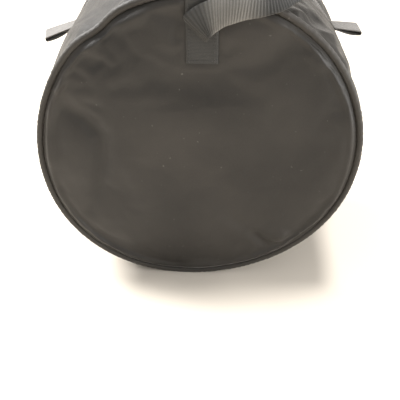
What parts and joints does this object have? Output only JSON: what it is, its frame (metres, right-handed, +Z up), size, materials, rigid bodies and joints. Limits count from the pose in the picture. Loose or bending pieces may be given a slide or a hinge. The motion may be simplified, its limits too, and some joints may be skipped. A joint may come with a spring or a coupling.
{
  "type": "tom drum bag",
  "caption": "Round padded drum bag lying on its side, with welted rims, a hinged lid on a long zip, a webbing carry handle and two side loops.",
  "frame": {"origin": "on the floor under the middle of the bag as it lies on its side", "axes": "+X to the right, +Y along the drum's axis from the base panel to the lid, +Z up"},
  "size_m": [0.4426, 0.2732, 0.4194],
  "materials": {
    "nylon": "woven, slightly sheeny, charcoal",
    "foam": "soft closed-cell padding",
    "lining": "matt black cloth",
    "webbing": "ribbed webbing, dark grey",
    "zip": "moulded black",
    "slider": "dark enamel",
    "pull": "moulded matt black"
  },
  "bodies": {
    "shell": {"base_panel_outer": "nylon", "base_panel_foam": "foam", "base_panel_lining": "lining", "base_welt": "nylon", "base_seam_binding": "lining", "wall_outer": "nylon", "wall_foam": "foam", "wall_lining": "lining", "wall_mouth_binding": "lining", "wall_hinge_flap": "nylon", "zip_tape_wall": "zip", "zip_teeth_wall": "zip", "zip_stop_left": "zip", "zip_stop_right": "zip", "handle_front_anchor": "webbing", "handle_rear_anchor": "webbing", "side_tab_patch_left": "webbing", "side_tab_patch_right": "webbing"},
    "lid": {"lid_panel_outer": "nylon", "lid_panel_foam": "foam", "lid_panel_lining": "lining", "lid_welt": "nylon", "lid_seam_binding": "lining", "gusset_outer": "nylon", "gusset_foam": "foam", "gusset_lining": "lining", "gusset_mouth_binding": "lining", "lid_hinge_flap": "nylon", "zip_tape_lid": "zip", "zip_teeth_lid": "zip"},
    "upper_slider": {"upper_slider": "slider", "upper_slider_inner_plate": "slider"},
    "upper_pull": {"upper_pull": "pull"},
    "lower_slider": {"lower_slider": "slider", "lower_slider_inner_plate": "slider"},
    "lower_pull": {"lower_pull": "pull"},
    "handle": {"carry_handle": "webbing"},
    "right_tab": {"side_tab_right": "webbing"},
    "left_tab": {"side_tab_left": "webbing"}
  },
  "joints": [
    {"name": "lid_hinge", "type": "hinge", "parent": "shell", "child": "lid", "pos_m": [0, 0.063, 0.41286], "axis": [1, 0, 0], "range_deg": [0, 100]},
    {"name": "upper_slider_run", "type": "hinge", "parent": "shell", "child": "upper_slider", "pos_m": [0, 0.063, 0.20606], "axis": [0, -1, 0], "range_deg": [0, 62]},
    {"name": "lower_slider_run", "type": "hinge", "parent": "shell", "child": "lower_slider", "pos_m": [0, 0.063, 0.20606], "axis": [0, -1, 0], "range_deg": [-216, 8]},
    {"name": "upper_pull_swing", "type": "hinge", "parent": "upper_slider", "child": "upper_pull", "pos_m": [0.20952, 0.063, 0.19874], "axis": [0, -1, 0], "range_deg": [0, 165]},
    {"name": "lower_pull_swing", "type": "hinge", "parent": "lower_slider", "child": "lower_pull", "pos_m": [0.19152, 0.063, 0.12079], "axis": [0, -1, 0], "range_deg": [-15, 155]},
    {"name": "handle_swing", "type": "hinge", "parent": "shell", "child": "handle", "pos_m": [0.0263, -0.0465, 0.41676], "axis": [0, -1, 0], "range_deg": [-10, 175]},
    {"name": "right_tab_flex", "type": "hinge", "parent": "shell", "child": "right_tab", "pos_m": [0.18083, 0.041, 0.31046], "axis": [0, -1, 0], "range_deg": [-20, 50], "stiffness_Nm_per_rad": 0.3},
    {"name": "left_tab_flex", "type": "hinge", "parent": "shell", "child": "left_tab", "pos_m": [-0.18083, 0.041, 0.31046], "axis": [0, 1, 0], "range_deg": [-20, 50], "stiffness_Nm_per_rad": 0.3}
  ]
}
